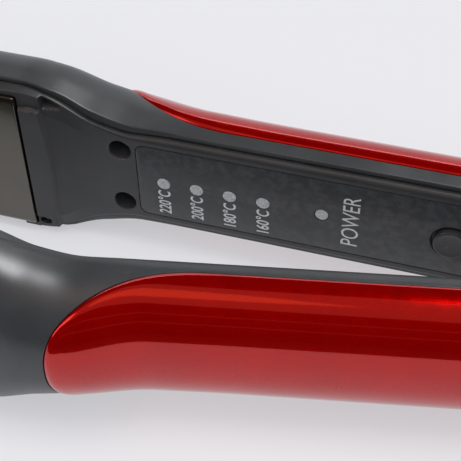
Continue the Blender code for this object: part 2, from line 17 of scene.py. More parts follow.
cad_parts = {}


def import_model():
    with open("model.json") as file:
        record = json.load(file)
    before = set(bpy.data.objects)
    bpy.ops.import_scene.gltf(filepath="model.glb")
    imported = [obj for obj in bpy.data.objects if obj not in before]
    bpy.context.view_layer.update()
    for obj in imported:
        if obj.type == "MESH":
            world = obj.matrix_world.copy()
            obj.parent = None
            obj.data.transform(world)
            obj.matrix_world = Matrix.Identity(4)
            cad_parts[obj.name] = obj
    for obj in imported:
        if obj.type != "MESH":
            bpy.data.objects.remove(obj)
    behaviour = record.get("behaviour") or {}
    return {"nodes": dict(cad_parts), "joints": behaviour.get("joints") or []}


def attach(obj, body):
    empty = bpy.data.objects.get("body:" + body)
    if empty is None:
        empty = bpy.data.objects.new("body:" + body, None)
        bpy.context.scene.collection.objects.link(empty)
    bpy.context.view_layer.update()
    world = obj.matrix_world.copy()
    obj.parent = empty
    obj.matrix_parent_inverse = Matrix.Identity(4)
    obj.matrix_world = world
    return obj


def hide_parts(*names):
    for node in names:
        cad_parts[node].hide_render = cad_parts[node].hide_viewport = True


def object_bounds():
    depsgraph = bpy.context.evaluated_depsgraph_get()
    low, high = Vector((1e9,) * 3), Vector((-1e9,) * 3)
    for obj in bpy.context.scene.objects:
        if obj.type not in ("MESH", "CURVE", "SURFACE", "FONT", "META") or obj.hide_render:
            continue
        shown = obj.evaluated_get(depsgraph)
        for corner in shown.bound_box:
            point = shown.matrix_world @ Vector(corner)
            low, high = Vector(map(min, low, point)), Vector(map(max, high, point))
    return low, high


MM = 0.001

# Outer body of an arm, in millimetres: (reach, value) stations, joined by smooth curves
HALF_WIDTHS = [(3, 18.0), (30, 15.4), (60, 14.0), (148.4, 14.0), (158, 16.2), (168, 20.6), (174, 21.5)]
THICKNESSES = [(3, 13.5), (30, 16.0), (60, 16.6), (135, 16.6), (153.4, 19.9), (161.4, 19.6), (171.4, 18.86)]
CREASE_DEPTHS = [(148, 6.1), (168, 4.9)]
BAND_TILT = 0.05
BAND_SLOPES = [(25, 0.0), (38, BAND_TILT), (130, BAND_TILT), (144, 0.0)]
FACE_OFFSET = 2.9
ROUNDNESS = 2.25
TIP_ROUNDNESS = 2.5
WIDTH_TIP = (266.0, 10.8)
THICKNESS_TIP = (250.0, 26.8)
TIP_REACH = 276.8
BODY_START = 3.0
RIM_DEPTHS = [(140, 1.35), (157, 0.95), (163, 1.15), (168, 0.75), (172, 1.0)]
NEAR_RIM_SHIFTS = [(140, 0.5), (157, 0.9), (168, 2.2), (172, 2.2)]
NEAR_RIM_SINK = 0.45
RIM_INSET = 0.3
RIM_ROUND = 0.35
RIM_GAP = 0.3
RIM_POWER = 2.5
RIM_FOLDS = [(0.5, 0.0, 0.0, 0.9), (1.0, -0.15, 0.02, 0.7), (1.0, 0.0, 0.17, 0.5), (1.0, 0.0, 2.6, 0.3),
             (1.0, 0.7, 2.7, 0.15), (1.0, 0.7, 5.0, 0.0)]
FLANK_SHARE = 0.16
GIRTH = 30.0
POLE_RUN = 40.0

# Red cover on the handle, and its swept edges
COVER_EDGE_DEPTH = 4.6
COVER_FRONT = (127.2, 155.8, 14.6)
COVER_SHIFTS = {"near": -2.0, "far": 2.0}
COVER_REAR = (38.0, 16.0, 11.5)
COVER_SWEEP = 2.26
COVER_SKIN = 1.2
COVER_RAISES = [(118, 0.22), (142, 0.55)]
COVER_ROUNDS = [(118, 0.7), (142, 2.3)]
COVER_DROP = 0.3
BAND_WIDTHS = [(16, 1.1), (40, 1.5), (130, 1.5), (156, 1.1)]
SEAM_HALF = 0.06
SEAM_DEPTH = 0.9

# Inner cover
INNER_INSETS = [(140, 1.8), (157, 2.4), (164, 1.9), (170, 1.4)]
INNER_SIDE_DEPTH = 2.0
INNER_BACK = 4.4
INNER_TIP = (265.8, 9.8)
FILLETS = [(140, 1.1), (157, 0.4), (171, 0.3)]
FACE_RISES = [(157, 0.0), (162, 0.45), (166.6, 1.35), (167.15, 1.45), (167.75, 2.3), (168.2, 2.4)]
CORNER_HEIGHT = 15.9
BLOCK_STEP = 1.0
HOLLOW_DEPTH = 1.9
HOLLOWS = {1: (163.6, 167.2, 16.3, 21.0), -1: (169.8, 173.6, 17.3, 18.6)}
HOLLOW_WALL = 0.55
BAR_REACHES = [158, 167.2, 168.6, 173.4]
BAR_BOW, BAR_HALF = 1.75, 19.5
RAIL_RISES = [(177.4, 1.6), (178.4, -0.2)]
TIP_RISES = [(266.2, -0.2), (267.6, 2.2)]
PLATE_OPENING = (173.9, 269.3, 18.95)
SCREW_REACH, SCREW_HEIGHT, SCREW_WELL = 152.0, 7.6, 2.5
SCREW_SEAT = 5.0

# Plate
PLATE_REACHES = (174.2, 269.0)
PLATE_HALF_WIDTH = 18.65
PLATE_RISE = 2.65

# Controls, on the far arm
PANEL_REACHES = (62.0, 148.35)
PANEL_HALF_WIDTH = 10.0
PANEL_CORNER = 2.0
LIGHTS = {"led_160": 119.9, "led_180": 127.4, "led_200": 134.9, "led_220": 142.4, "led_power": 106.95}
LIGHT_RADIUS = 1.5
BUTTON_SPOT = (79.4, -0.8)
BUTTON_RADIUS, BUTTON_HOLE, BUTTON_RISE = 3.7, 4.2, 1.0

# Hinge, measured from the pin's axis
HUB_RADIUS, HUB_CLEARANCE = 12.5, 13.1
BARREL_HALF = 7.0
EAR_HEIGHTS = (7.3, 18.2)
CAP_HEIGHTS = (18.5, 21.5)
PIN_RADIUS, PIN_HALF = 3.0, 16.5
TAIL_END, TAIL_HALF_WIDTH, TAIL_HALF_HEIGHT = 26.2, 8.6, 10.5
TANG_DEPTHS = (6.2, 11.5)

# Camera, from the hinge axis at the height of the floor
CAMERA_OFFSET = Vector((-91.1, -153.9, 188.0))
CAMERA_TURN = math.radians(11.7925)
CAMERA_PITCH = math.radians(45.67)
CAMERA_ROLL = math.radians(-1.179)
CAMERA_LENS = 86.6
FLAG_DISTANCE = 0.14


# Curves that give the body its shape


def joined(*values):
    """Arrays and numbers side by side, in a new last axis."""
    return np.stack(np.broadcast_arrays(*values), axis=-1)


def ramp(distance, width):
    """0 before a slope, 1 past its width, and even between."""
    return np.clip(distance / width, 0, 1)


def smooth(stations, at):
    """Values at `at` on a smooth curve through (place, value) stations, flat beyond its ends."""
    places, values = np.array(stations, float).T
    at = np.clip(at, places[0], places[-1])
    slopes = np.diff(values) / np.diff(places)
    before, after = slopes[:-1], slopes[1:]
    same = before * after > 0
    middle = np.where(same, 2 * before * after / np.where(same, before + after, 1.0), 0.0)
    tangents = np.concatenate([[0.0], middle, [0.0]])
    i = np.clip(np.searchsorted(places, at, side="right") - 1, 0, len(places) - 2)
    span = places[i + 1] - places[i]
    t = (at - places[i]) / span
    bends = t * (1 - t) ** 2 * span * tangents[i] - t * t * (1 - t) * span * tangents[i + 1]
    return values[i] + (values[i + 1] - values[i]) * t * t * (3 - 2 * t) + bends


def tip_scale(tip, reach):
    """How wide a rounded tip of (start, length) still is: 1 at its start, 0 at its end."""
    start, length = tip
    return (1 - ramp(reach - start, length) ** TIP_ROUNDNESS) ** (1 / TIP_ROUNDNESS)


def half_width(reach):
    return smooth(HALF_WIDTHS, reach) * tip_scale(WIDTH_TIP, reach)


def rim_depth(reach):
    return smooth(RIM_DEPTHS, reach)


def thickness(reach):
    rim = rim_depth(reach)
    return rim + (smooth(THICKNESSES, reach) - rim) * tip_scale(THICKNESS_TIP, reach)


def crease_depth(reach):
    rim = rim_depth(reach)
    return np.minimum(smooth(CREASE_DEPTHS, reach), rim + 0.6 * (thickness(reach) - rim))


def tip_reaches(tip, steps):
    """Reaches from the start of a rounded tip to its end, evenly round its curve."""
    start, length = tip
    return start + length * np.sin(np.linspace(0, math.pi / 2, steps)) ** (2 / TIP_ROUNDNESS)


def outer_spot(reach, sweep):
    """Spots on the arm's outer side. `sweep` runs from 0 at the upper rim to 1 at the ridge."""
    reach, sweep = np.broadcast_arrays(np.asarray(reach, float), np.asarray(sweep, float))
    wide, deep, crease, rim = half_width(reach), thickness(reach), crease_depth(reach), rim_depth(reach)
    slope = smooth(BAND_SLOPES, reach)
    flank_depth = rim + (crease - rim) * ramp(sweep, FLANK_SHARE)
    near_rim = np.clip(1 - (flank_depth - rim) / RIM_ROUND, 0, 1) ** RIM_POWER
    rounding = (RIM_INSET - slope * (crease - rim)) * near_rim
    flank_height = wide - (slope * (crease - flank_depth) + rounding) * np.minimum(1, wide / 8)
    turn = ramp(sweep - FLANK_SHARE, 1 - FLANK_SHARE) * math.pi / 2
    crown_depth = crease + (deep - crease) * np.sin(turn) ** (2 / ROUNDNESS)
    crown_height = wide * np.clip(np.cos(turn), 0, 1) ** (2 / ROUNDNESS)
    on_flank = sweep < FLANK_SHARE
    depth = np.where(on_flank, flank_depth, crown_depth)
    height = np.where(on_flank, flank_height, crown_height)
    return joined(reach, depth, height)


def outer_sweep(reach, depth):
    """The sweep at which the outer side reaches that depth."""
    crease, rim = crease_depth(reach), rim_depth(reach)
    share = ramp(depth - crease, thickness(reach) - crease)
    crown = FLANK_SHARE + (1 - FLANK_SHARE) * np.arcsin(share ** (ROUNDNESS / 2)) / (math.pi / 2)
    return np.where(depth < crease, FLANK_SHARE * (depth - rim) / (crease - rim), crown)


def outer_normal(reach, sweep):
    """Unit normals that point out of the outer side."""
    step_reach, step_sweep = 0.02, 0.001
    low, high = np.maximum(reach - step_reach, BODY_START), np.minimum(reach + step_reach, TIP_REACH)
    first, last = np.maximum(sweep - step_sweep, 0), np.minimum(sweep + step_sweep, 1)
    along = outer_spot(high, sweep) - outer_spot(low, sweep)
    across = outer_spot(reach, last) - outer_spot(reach, first)
    normal = np.cross(along, across)
    length = np.linalg.norm(normal, axis=-1, keepdims=True)
    normal = np.where(length > 1e-12, normal / np.maximum(length, 1e-12), [1.0, 0.0, 0.0])
    normal[..., 2] = np.where(np.asarray(sweep) > 0.9999, 0.0, normal[..., 2])
    return normal / np.linalg.norm(normal, axis=-1, keepdims=True)


def swept_end(end, shift=0.0):
    """(reach, sweep) points on a swept end of the red cover's edge, up to its apex on the ridge."""
    start, apex, rise = end
    start, apex = start + shift, apex + shift
    low, high = 0.5, 1.2
    for _ in range(50):
        middle = (low + high) / 2
        short = COVER_EDGE_DEPTH + rise * middle**COVER_SWEEP < thickness(start + (apex - start) * middle)
        low, high = (middle, high) if short else (low, middle)
    along = low * (1 - (1 - np.linspace(0, 1, 3000)) ** 3)
    reach = start + (apex - start) * along
    sweep = outer_sweep(reach, COVER_EDGE_DEPTH + rise * along**COVER_SWEEP)
    sweep[-1] = 1.0
    return reach, sweep


def cover_edge(shift):
    """(reach, sweep, run) along the red cover's edge, rear apex to front apex, closer at the ends."""
    rear_reach, rear_sweep = swept_end(COVER_REAR)
    front_reach, front_sweep = swept_end(COVER_FRONT, shift)
    straight = np.linspace(COVER_REAR[0], front_reach[0], 1500)[1:-1]
    side_sweep = outer_sweep(straight, COVER_EDGE_DEPTH + 0 * straight)
    reach = np.concatenate([rear_reach[::-1], straight, front_reach])
    sweep = np.concatenate([rear_sweep[::-1], side_sweep, front_sweep])
    lengths = np.linalg.norm(np.diff(outer_spot(reach, sweep), axis=0), axis=1)
    run = running(lengths)
    spacing = 0.22 + 0.9 * ramp(np.minimum(run, run[-1] - run), 40) ** 1.2
    count = running(lengths / ((spacing[1:] + spacing[:-1]) / 2))
    picks = np.interp(np.linspace(0, count[-1], int(count[-1]) + 1), count, run)
    return np.interp(picks, run, reach), np.interp(picks, run, sweep), picks


def running(lengths):
    """The distance from the start of a path to the start of each of its steps, and to its end."""
    return np.concatenate([[0.0], np.cumsum(lengths)])


def edge_normals(reach, sweep):
    """Unit normals of the edge that point away from the red cover, in the (reach, GIRTH * sweep) plane."""
    path = joined(reach, GIRTH * sweep)
    over_ridge = path[[1, -2]] * np.array([1.0, -1.0]) + np.array([0.0, 2 * GIRTH])
    padded = np.vstack([over_ridge[:1], path, over_ridge[1:]])
    tangent = padded[2:] - padded[:-2]
    normal = joined(tangent[:, 1], -tangent[:, 0])
    return normal / np.linalg.norm(normal, axis=1, keepdims=True)


def curved_lines(starts, leaving, targets, near, far, middle, growth):
    """(reach, sweep) rows of lines that leave their starts along `leaving` and bend to their targets.

    `near` and `far` are the distances of the close rows from the two ends.
    """
    starts, targets = (joined(reach, GIRTH * sweep) for reach, sweep in (starts, targets))
    length = np.linalg.norm(targets - starts, axis=1)[:, None]

    def shares(distances, furthest):
        return np.array(distances) * np.minimum(1, 0.4 * length / furthest) / length

    first = shares(near, near[-1])
    last = 1 - shares(far, far[0]) if far else np.ones_like(length)
    between = first[:, -1:] + (last[:, :1] - first[:, -1:]) * (np.arange(1, middle) / middle) ** growth
    t = np.concatenate([first, between, last], axis=1)[..., None]
    bend = starts + leaving * (0.4 * length)
    line = (1 - t) ** 2 * starts[:, None] + 2 * t * (1 - t) * bend[:, None] + t * t * targets[:, None]
    return line[..., 0], np.clip(line[..., 1] / GIRTH, 0, 1)


def run_from_edge(spots):
    """How far each spot lies from the middle of the seam, along its line."""
    steps = np.linalg.norm(np.diff(spots, axis=1), axis=-1)
    return np.concatenate([np.zeros((len(spots), 1)), np.cumsum(steps, axis=1)], axis=1) + SEAM_HALF


def rounded_drop(distance, width, depth=None):
    """How far a rounded edge, a quarter ellipse, drops below its surface at a distance from the edge."""
    inside = np.clip(1 - distance / width, 0, 1)
    return (width if depth is None else depth) * (1 - np.sqrt(1 - inside**2))


# Meshes


def quarter(side, end, inward, back, steps, start=0.0):
    """Profile points round a corner, from its side to its end face."""
    turns = np.linspace(start, math.pi / 2, steps)
    return [(side - inward * (1 - math.cos(t)), end + back * (1 - math.sin(t))) for t in turns]


def circle(steps):
    """Cosines and sines round a circle."""
    angles = np.linspace(0, 2 * math.pi, steps, endpoint=False)
    return np.cos(angles), np.sin(angles)


def mirrored(rows):
    """Spots of the upper half as spots of the lower half."""
    return rows * np.array([1.0, 1.0, -1.0])


def add_object(name, data):
    obj = bpy.data.objects.new(name, data)
    bpy.context.scene.collection.objects.link(obj)
    return obj


def shaded(mesh, sharp):
    """The mesh, smooth apart from edges that turn by more than `sharp` degrees."""
    mesh.shade_smooth()
    mesh.set_sharp_from_angle(angle=math.radians(sharp))
    return mesh


class Shape:
    """Grids of points, gathered into one mesh."""

    def __init__(self):
        self.points = []
        self.faces = []
        self.count = 0

    def grid(self, rows, closed=False):
        """Faces between neighbouring rows of points in metres. `closed` joins each row's end to its start."""
        down, along = rows.shape[:2]
        self.points.append(rows.reshape(-1, 3))
        index = np.arange(down * along).reshape(down, along) + self.count
        if closed:
            index = np.hstack([index, index[:, :1]])
        quads = np.stack([index[:-1, :-1], index[:-1, 1:], index[1:, 1:], index[1:, :-1]], axis=-1)
        self.faces.extend(quads.reshape(-1, 4).tolist())
        self.count += down * along
        return self

    def cap(self, ring):
        self.points.append(ring)
        self.faces.append(list(range(self.count, self.count + len(ring))))
        self.count += len(ring)
        return self

    def solid(self, rings):
        """A closed solid through rings of points, with flat ends."""
        return self.grid(rings, closed=True).cap(rings[0]).cap(rings[-1])

    def mesh(self, name, sharp=35):
        mesh = bpy.data.meshes.new(name)
        mesh.from_pydata(np.concatenate(self.points).tolist(), [], self.faces)
        draft = bmesh.new()
        draft.from_mesh(mesh)
        bmesh.ops.remove_doubles(draft, verts=draft.verts, dist=1e-7)
        bmesh.ops.dissolve_degenerate(draft, edges=draft.edges, dist=1e-7)
        bmesh.ops.recalc_face_normals(draft, faces=draft.faces)
        draft.to_mesh(mesh)
        draft.free()
        return shaded(mesh, sharp)


def add_piece(name, made, finish, body, stands_for=(), sharp=35):
    """A piece of the visual model, from a Shape or a mesh. It rides on a body and stands for CAD nodes."""
    mesh = made.mesh(name, sharp) if isinstance(made, Shape) else made
    mesh.materials.clear()
    mesh.materials.append(finish)
    obj = add_object(name, mesh)
    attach(obj, body)
    if stands_for:
        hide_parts(*stands_for)


def subtract(mesh, cutter, sharp=30):
    """The mesh with a cutter taken out of it, as a new mesh."""
    base, tool = add_object("boolean_base", mesh), add_object("boolean_tool", cutter)
    step = base.modifiers.new("cut", "BOOLEAN")
    step.operation = "DIFFERENCE"
    step.object = tool
    step.solver = "EXACT"
    graph = bpy.context.evaluated_depsgraph_get()
    result = bpy.data.meshes.new_from_object(base.evaluated_get(graph))
    for obj in (base, tool):
        bpy.data.objects.remove(obj)
    return shaded(result, sharp)


def rounded_outline(low, high, half, radius, steps=6):
    """A rounded rectangle's (reach, height) points."""
    points = []
    corners = [(high - radius, half - radius), (low + radius, half - radius),
               (low + radius, radius - half), (high - radius, radius - half)]
    for turn, (reach, height) in enumerate(corners):
        for angle in np.linspace(turn, turn + 1, steps + 1) * math.pi / 2:
            points.append((reach + radius * math.cos(angle), height + radius * math.sin(angle)))
    return np.array(points)


class Arm:
    """One arm's frame: which side of the hinge's plane it lies on, and how far it is swung open."""

    def __init__(self, name, side, hinge, opening):
        self.name = name
        self.body = name + "_arm"
        self.side = side
        self.matrix = np.array(Matrix.Translation(hinge) @ Matrix.Rotation(-side * opening / 2, 4, "Z"))

    def world(self, local):
        """Millimetres in the arm's own axes, with x towards the tail and z along the pin, as points."""
        return np.asarray(local, float) * MM @ self.matrix[:3, :3].T + self.matrix[:3, 3]

    def place(self, spots):
        """Spots of (reach, depth, height) as points."""
        reach, depth, height = np.moveaxis(np.asarray(spots, float), -1, 0)
        return self.world(joined(-reach, self.side * (FACE_OFFSET + depth), height))

    def halves(self, rows):
        """A shape from rows of spots on the arm's upper half and their mirror image."""
        return Shape().grid(self.place(rows)).grid(self.place(mirrored(rows)))

    def slab(self, outline_of, profile, shape=None):
        """A slab, or one more of a shape's solids, whose outline has an inset for each (inset, depth)."""
        rings = [np.insert(outline_of(inset), 1, depth, axis=1) for inset, depth in profile]
        return (shape or Shape()).solid(self.place(rings))

    def rings(self, centre, profile, steps=48):
        """Rings round the depth direction at a (reach, height) centre, from (radius, depth) points."""
        x, y = circle(steps)
        return self.place([joined(centre[0] + r * x, depth, centre[1] + r * y) for r, depth in profile])

    def turned(self, centre, profile, steps=48, shape=None):
        """A solid turned about the depth direction, or one more of a shape's solids."""
        return (shape or Shape()).solid(self.rings(centre, profile, steps))

    def piece(self, name, made, finish, slot, *nodes, sharp=35):
        """A piece of this arm, which stands for its nodes of those names."""
        stands_for = [f"{self.name}_{node}" for node in nodes]
        add_piece(f"{self.name}_{name}", made, finish, self.body, stands_for, sharp)


# The arm's covers


def body_targets(picks, edge_reach):
    """Where the shell's lines end, in (reach, sweep): round its hinge end, then along its rim to the tip."""
    climb = np.linspace(1, 0, 200)
    start = start_reach(climb)
    rim = np.concatenate([np.linspace(start[-1], WIDTH_TIP[0], 900)[1:-1], tip_reaches(WIDTH_TIP, 40)])
    pole = np.linspace(0, 1, 120)[1:]
    reach = np.concatenate([start, rim, TIP_REACH + 0 * pole])
    sweep = np.concatenate([climb, 0 * rim, pole])
    run = running(np.linalg.norm(np.diff(outer_spot(reach, sweep), axis=0), axis=1))
    at_tip = run[-len(pole) - 1]
    run[-len(pole):] = at_tip + POLE_RUN * pole
    at_corner = run[len(climb) - 1]
    on_rim = slice(len(climb), -len(pole))
    ahead = slice(int(np.argmin(edge_reach)), None)
    apex = edge_reach[-1]

    def run_at(place):
        return np.interp(place, reach[on_rim], run[on_rim])

    def picked(place):
        return np.interp(place, edge_reach[ahead], picks[ahead])

    anchors = [(0.0, 0.0), (0.5 * picked(30), at_corner), (picked(34), run_at(31)), (picked(45), run_at(44))]
    anchors += [(picked(apex - behind), run_at(place)) for behind, place in
                ((34, apex - 34), (24, apex - 23), (14, 150), (6, 180), (3, 225), (1, 262))]
    anchors += [(picked(apex - 0.35), at_tip), (picks[-1], run[-1])]
    along = smooth(anchors, picks)
    return np.interp(along, run, reach), np.interp(along, run, sweep), along <= at_corner


def start_reach(sweep):
    """Where the body starts: behind the hub's clearance, and at BODY_START beyond it."""
    reach = np.full(len(sweep), 8.0)
    for _ in range(12):
        away = FACE_OFFSET + outer_spot(reach, sweep)[..., 1]
        reach = np.maximum(BODY_START, np.sqrt(np.clip(HUB_CLEARANCE**2 - away**2, 0, None)))
    return reach


def plan_inward(reach, height):
    """Unit (reach, height) vectors that point inward from an outline that ends at the tip."""
    tangent = np.gradient(joined(reach, height), axis=0)
    tangent[np.hypot(tangent[:, 0], tangent[:, 1]) < 1e-6] = (0.0, -1.0)
    tangent[-1] = (0.0, -1.0)
    normal = joined(tangent[:, 1], -tangent[:, 0])
    return normal / np.maximum(np.linalg.norm(normal, axis=1, keepdims=True), 1e-9)


def outer_shell(arm, finish):
    """The dark outer shell, with its rounded rim and the groove round the red cover."""
    edge_reach, edge_sweep, picks = cover_edge(COVER_SHIFTS[arm.name])
    end_reach, end_sweep, at_hinge = body_targets(picks, edge_reach)
    at_hinge = at_hinge[:, None]
    near = [SEAM_HALF, SEAM_HALF + 0.05, 0.17, 0.26, 0.4, 0.6, 0.9]
    far = [2.2, 1.6, 1.15, 0.8, 0.5, 0.28, 0.12, 0.0]
    leaving = edge_normals(edge_reach, edge_sweep)
    lines = curved_lines((edge_reach, edge_sweep), leaving, (end_reach, end_sweep), near, far, 40, 1.35)
    spots, normals = outer_spot(*lines), outer_normal(*lines)
    drop = rounded_drop(run_from_edge(spots) - SEAM_HALF, 0.12)
    to_end = np.linalg.norm(spots - spots[:, -1:], axis=-1)
    drop += np.where(at_hinge, rounded_drop(to_end, 0.6), 0.0)
    spots = spots - normals * drop[..., None]
    floor = spots[:, :1] - normals[:, :1] * SEAM_DEPTH
    last = outer_spot(end_reach, end_sweep)
    inward = plan_inward(end_reach, last[:, 2])
    wall = smooth(INNER_INSETS, end_reach) - RIM_INSET - RIM_GAP
    folds = []
    for part, further, deeper, share in RIM_FOLDS:
        inset = part * wall + further
        rim = last + joined(inward[:, 0] * inset, deeper, inward[:, 1] * inset)
        rim[:, 2] = np.maximum(rim[:, 2], 0.0)
        folds.append(np.where(at_hinge, last * np.array([1.0, 1.0, share]), rim))
    rows = np.concatenate([floor, spots, np.stack(folds, axis=1)], axis=1)
    if arm.name == "near":
        share = np.clip(1 - (rows[..., 1] - rim_depth(rows[..., 0])) / 3.0, 0, 1) * ~at_hinge
        rows[..., 1] += share * smooth(NEAR_RIM_SHIFTS, rows[..., 0])
        rows[..., 2] = np.maximum(rows[..., 2] - NEAR_RIM_SINK * share**2, 0.0)
    arm.piece("shell", arm.halves(rows), finish, "dark_soft_plastic", "outer_shell")


def red_cover(arm, finish):
    """The glossy grip cover: a crowned skin whose flat side band ends in a rounded, raised edge."""
    reach, sweep, _ = cover_edge(COVER_SHIFTS[arm.name])
    pull = 22 * ramp(reach - 100, 56) ** 2 - 12 * ramp(66 - reach, 50) ** 2
    band = smooth(BAND_WIDTHS, reach)
    near = [SEAM_HALF, SEAM_HALF + 0.04, 0.18, 0.34, 0.58, 0.95]
    lines = curved_lines((reach, sweep), -edge_normals(reach, sweep), (reach - pull, 1.0), near, [], 36, 1.15)
    even_run = run_from_edge(outer_spot(*lines))
    run = aligned(even_run, band)
    lines = relined(lines, even_run, run)
    spots, normals = outer_spot(*lines), outer_normal(*lines)
    flat = BAND_TILT - smooth(BAND_SLOPES, lines[0])
    drop = flat * np.clip(band[:, None] - run, 0, None) - smooth(COVER_RAISES, lines[0])
    width = smooth(COVER_ROUNDS, reach)[:, None]
    drop += rounded_drop(run - SEAM_HALF, width, COVER_DROP * width + 0.1)
    back = spots - normals * COVER_SKIN
    spots = spots - normals * drop[..., None]
    shape = arm.halves(np.concatenate([back[:, ::-1], spots], axis=1))
    arm.piece("grip_cover", shape, finish, "red_lacquer", "red_cover")


def aligned(run, band):
    """The lines' runs, moved so that three rows lie close round the band's inner edge."""
    moved = run.copy()
    for row, offset in ((7, -0.16), (8, 0.0), (9, 0.16)):
        moved[:, row] = band + offset
    moved[:, 6] = (moved[:, 5] + moved[:, 7]) / 2
    share = np.linspace(0, 1, run.shape[1] - 9)
    moved[:, 9:] = moved[:, 9:10] + (run[:, -1:] - moved[:, 9:10]) * share
    return moved


def relined(lines, old, new):
    """Lines resampled from their old runs to new ones."""
    return tuple(np.array([np.interp(n, o, row) for n, o, row in zip(new, old, values)]) for values in lines)


# The inner cover, plate and controls


def bar_warp(reach, height):
    """How much further out a spot lies because the bar's rear edge is curved."""
    return np.interp(reach, BAR_REACHES, [0, 1, 1, 0]) * BAR_BOW * np.abs(height / BAR_HALF) ** 1.8


def face_rise(reach, height, end):
    """How far the inner cover stands proud, before the bar's curve. `end` is 1 above its middle, -1 below."""
    to_edge = warped_outline(reach) - height
    rise = smooth(FACE_RISES, reach) * np.maximum(ramp(to_edge, 4), ramp(reach - 166.8, 0.5))
    rise = rise - BLOCK_STEP * ramp(reach - 167.2, 0.6) * ramp(height - CORNER_HEIGHT, 0.35)
    start, stop, low, high = HOLLOWS[end]
    hollow = ramp(reach - start, 0.5) * ramp(stop - reach, 0.5) * ramp(height - low, 0.5)
    hollow *= ramp(high - height, 0.3) * ramp(to_edge - HOLLOW_WALL, 0.25)
    rise = rise * (1 - hollow) - HOLLOW_DEPTH * hollow
    rise = np.where(reach > 173.7, smooth(RAIL_RISES, reach), rise)
    return np.where(reach > 230, smooth(TIP_RISES, reach), rise)


def inner_stations():
    """Reaches of the inner cover's rows, closer where its face rises."""
    runs = [(14.5, 15.3, 4), (17, 147, 90), (148, 166, 48), (166.4, 168.6, 23), (169, 173.6, 10),
            (173.8, 174.4, 4), (175, 177.4, 6), (177.6, 179, 10), (181, 264, 50)]
    return np.concatenate([np.linspace(*run) for run in runs] + [tip_reaches(INNER_TIP, 22)])


def inner_outline(reach):
    """The inner cover's half width, inset from the shell's."""
    return (smooth(HALF_WIDTHS, reach) - smooth(INNER_INSETS, reach)) * tip_scale(INNER_TIP, reach)


def warped_outline(reach):
    """The inner cover's half width at reaches that the bar's curve still moves."""
    return inner_outline(reach + bar_warp(reach, inner_outline(reach)))


def inner_half(end):
    """Half of the inner cover's outside, as rows from its back round its edge to its middle."""
    reach = inner_stations()
    height = warped_outline(reach)
    inward = plan_inward(reach, height)
    inward[:6] = (0.0, -1.0)
    columns = []

    def moved_in(inset):
        return reach + inward[:, 0] * inset, np.maximum(height + inward[:, 1] * inset, 0.0)

    def column(inset, depth):
        r, h = moved_in(inset)
        columns.append(joined(r, depth, h))

    column(1.3, INNER_BACK)
    column(1.3, INNER_SIDE_DEPTH + 0.1)
    column(0.2, INNER_SIDE_DEPTH)
    column(0.0, INNER_SIDE_DEPTH - 0.2)
    radius = smooth(FILLETS, reach)
    face_reach, face_height = moved_in(radius)
    top = -face_rise(reach, face_height, end)
    for turn in np.linspace(0, math.pi / 2, 7):
        column(radius * (1 - math.cos(turn)), top + radius * (1 - math.sin(turn)))
    pull = ramp(face_reach - 262, 12) * (face_reach - 262)
    for share in np.concatenate([np.linspace(0.02, 0.26, 13), np.linspace(0.31, 1, 14)]):
        h = face_height * (1 - share)
        columns.append(joined(face_reach - pull * share, -face_rise(reach, h, end), h))
    rows = np.stack(columns, axis=1)
    rows[..., 0] += bar_warp(rows[..., 0], rows[..., 2])
    return rows


def inner_cover(arm, finish):
    """The flat cover of the handle's inside, with its screw wells, the plate's opening and any controls."""
    upper, lower = inner_half(1), mirrored(inner_half(-1))[:, ::-1]
    blank = Shape().solid(arm.place(np.concatenate([upper, lower[:, 1:]], axis=1)))
    low, high, half = PLATE_OPENING

    def opening(inset):
        return rounded_outline(low + inset, high - inset, half - inset, 0.6)

    cutter = arm.slab(opening, [(0.0, INNER_BACK + 1), (0.0, -0.9), (-0.02, -6.0)])
    for side in (1, -1):
        well = [(SCREW_WELL, SCREW_SEAT + 1), (SCREW_WELL, 0.25), (SCREW_WELL + 0.06, 0.12),
                (SCREW_WELL + 0.2, 0.0), (SCREW_WELL + 1.2, -1.0)]
        arm.turned((SCREW_REACH, side * SCREW_HEIGHT), well, shape=cutter)
    if arm.name == "far":
        pocket = [(-0.13, 1.2), (-0.13, 0.14), (-0.18, 0.05), (-0.27, 0.0), (-1.13, -0.86)]
        arm.slab(panel_outline, pocket, cutter)
        for reach in LIGHTS.values():
            hole = [(LIGHT_RADIUS + 0.2, INNER_BACK + 1), (LIGHT_RADIUS + 0.2, 1.0)]
            arm.turned((reach, 0.0), hole, 32, cutter)
        wide = BUTTON_HOLE + 1.3
        hole = [(wide, INNER_BACK + 1), (wide, 1.9), (BUTTON_HOLE, 1.9), (BUTTON_HOLE, 1.0)]
        arm.turned(BUTTON_SPOT, hole, shape=cutter)
    mesh = subtract(blank.mesh("liner_blank", 30), cutter.mesh("liner_cutter"))
    arm.piece("liner", mesh, finish, "inner_plastic", "inner_cover")


def well_linings(arm, finish):
    """The moulded tubes under the screw wells, open to the screw heads."""
    shape = Shape()
    tube = [(SCREW_WELL, INNER_BACK - 0.1), (SCREW_WELL, SCREW_SEAT), (1.45, SCREW_SEAT + 0.02), (1.45, 6.1),
            (SCREW_WELL + 0.7, 6.1), (SCREW_WELL + 0.7, INNER_BACK - 0.1), (SCREW_WELL, INNER_BACK - 0.1)]
    for side in (1, -1):
        shape.grid(arm.rings((SCREW_REACH, side * SCREW_HEIGHT), tube), closed=True)
    arm.piece("screw_tubes", shape, finish, "inner_plastic")


